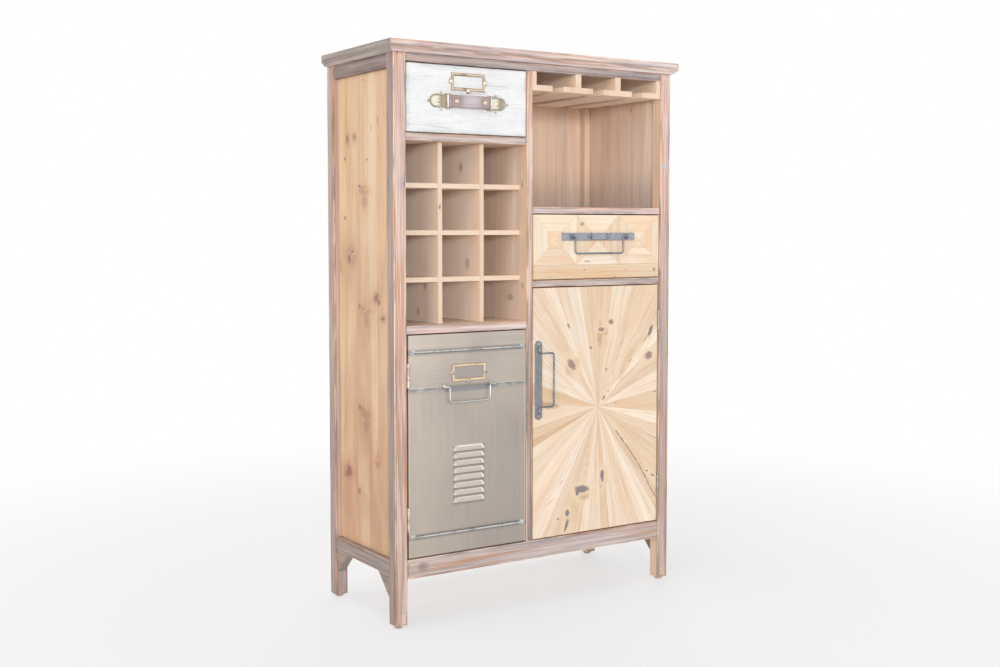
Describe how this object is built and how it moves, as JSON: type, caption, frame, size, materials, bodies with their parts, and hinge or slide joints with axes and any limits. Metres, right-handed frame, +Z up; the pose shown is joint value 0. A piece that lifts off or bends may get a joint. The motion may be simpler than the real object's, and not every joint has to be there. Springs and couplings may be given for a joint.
{
  "type": "bar cabinet",
  "caption": "Tall wooden bar cabinet with a bottle rack, hanging glass rails, drawers, a louvred metal locker door and a plank door on a legged, fluted frame.",
  "frame": {"origin": "on the floor, under the middle of the overall box", "axes": "+Z up, +X to the right of someone facing the doors, the doors face -Y"},
  "size_m": [0.75, 0.32, 1.2],
  "materials": {
    "stained_wood": "dark stained, rubbed through at the edges",
    "natural_pine": "satin, natural pine",
    "pale_pine": "satin, pale pine",
    "white_paint": "worn white paint on pine",
    "brushed_sheet": "brushed, warm grey lacquer",
    "silver_steel": "satin",
    "grey_iron": "dark grey, worn",
    "aged_brass": "aged, dull",
    "brown_leather": "smooth, stitched edges",
    "black_plastic": "matte"
  },
  "bodies": {
    "carcass": {"top_board": "stained_wood", "cornice_board": "stained_wood", "front_post_left": "stained_wood", "front_post_right": "stained_wood", "rear_post_left": "stained_wood", "rear_post_right": "stained_wood", "top_rail": "stained_wood", "bottom_rail": "stained_wood", "centre_partition": "stained_wood", "side_top_rail_left": "stained_wood", "side_top_rail_right": "stained_wood", "side_bottom_rail_left": "stained_wood", "side_bottom_rail_right": "stained_wood", "rack_floor": "stained_wood", "top_drawer_deck": "stained_wood", "mid_drawer_deck": "stained_wood", "glass_bay_floor": "stained_wood", "side_panel_left": "natural_pine", "side_panel_right": "natural_pine", "back_panel": "natural_pine", "bottom_board": "natural_pine", "rack_divider_1": "pale_pine", "rack_divider_2": "pale_pine", "rack_shelf_1": "pale_pine", "rack_shelf_2": "pale_pine", "rack_shelf_3": "pale_pine", "stem_rail_left": "pale_pine", "stem_rail_middle_1": "pale_pine", "stem_rail_middle_2": "pale_pine", "stem_rail_right": "pale_pine", "locker_hinge_1_frame_leaf": "silver_steel", "locker_hinge_2_frame_leaf": "silver_steel", "cupboard_hinge_1_frame_leaf": "silver_steel", "cupboard_hinge_2_frame_leaf": "silver_steel", "glide_front_left": "stained_wood", "glide_front_right": "stained_wood", "glide_rear_left": "stained_wood", "glide_rear_right": "stained_wood", "locker_magnetic_catch": "black_plastic", "cupboard_magnetic_catch": "black_plastic"},
    "top_drawer": {"top_drawer_front": "white_paint", "top_drawer_box": "pale_pine", "drawer_label_holder": "aged_brass", "strap_bracket_left": "aged_brass", "strap_bracket_right": "aged_brass", "leather_strap": "brown_leather"},
    "mid_drawer": {"mid_drawer_front": "natural_pine", "mid_drawer_box": "pale_pine", "drawer_handle_plate": "grey_iron"},
    "drawer_bail": {"drawer_bail": "grey_iron"},
    "locker_door": {"locker_door": "brushed_sheet", "locker_label_holder": "aged_brass", "locker_hinge_1_door_leaf": "silver_steel", "locker_hinge_2_door_leaf": "silver_steel"},
    "locker_bail": {"locker_bail": "silver_steel"},
    "cupboard_door": {"cupboard_door": "natural_pine", "cupboard_handle_plate": "grey_iron", "cupboard_hinge_1_door_leaf": "silver_steel", "cupboard_hinge_2_door_leaf": "silver_steel"},
    "cupboard_bail": {"cupboard_bail": "grey_iron"}
  },
  "joints": [
    {"name": "top_drawer_slide", "type": "slide", "parent": "carcass", "child": "top_drawer", "axis": [0, -1, 0], "range_m": [0, 0.2]},
    {"name": "mid_drawer_slide", "type": "slide", "parent": "carcass", "child": "mid_drawer", "axis": [0, -1, 0], "range_m": [0, 0.2]},
    {"name": "locker_door_hinge", "type": "hinge", "parent": "carcass", "child": "locker_door", "pos_m": [-0.33, -0.1476, 0.143], "axis": [0, 0, -1], "range_deg": [0, 110]},
    {"name": "cupboard_door_hinge", "type": "hinge", "parent": "carcass", "child": "cupboard_door", "pos_m": [0.33, -0.1476, 0.143], "axis": [0, 0, 1], "range_deg": [0, 110]},
    {"name": "drawer_bail_pivot", "type": "hinge", "parent": "mid_drawer", "child": "drawer_bail", "pos_m": [0.1555, -0.151, 0.80425], "axis": [-1, 0, 0], "range_deg": [0, 90]},
    {"name": "locker_bail_pivot", "type": "hinge", "parent": "locker_door", "child": "locker_bail", "pos_m": [-0.1835, -0.151, 0.4935], "axis": [-1, 0, 0], "range_deg": [0, 90]},
    {"name": "cupboard_bail_pivot", "type": "hinge", "parent": "cupboard_door", "child": "cupboard_bail", "pos_m": [-0.00675, -0.151, 0.492], "axis": [0, 0, -1], "range_deg": [0, 100]}
  ]
}
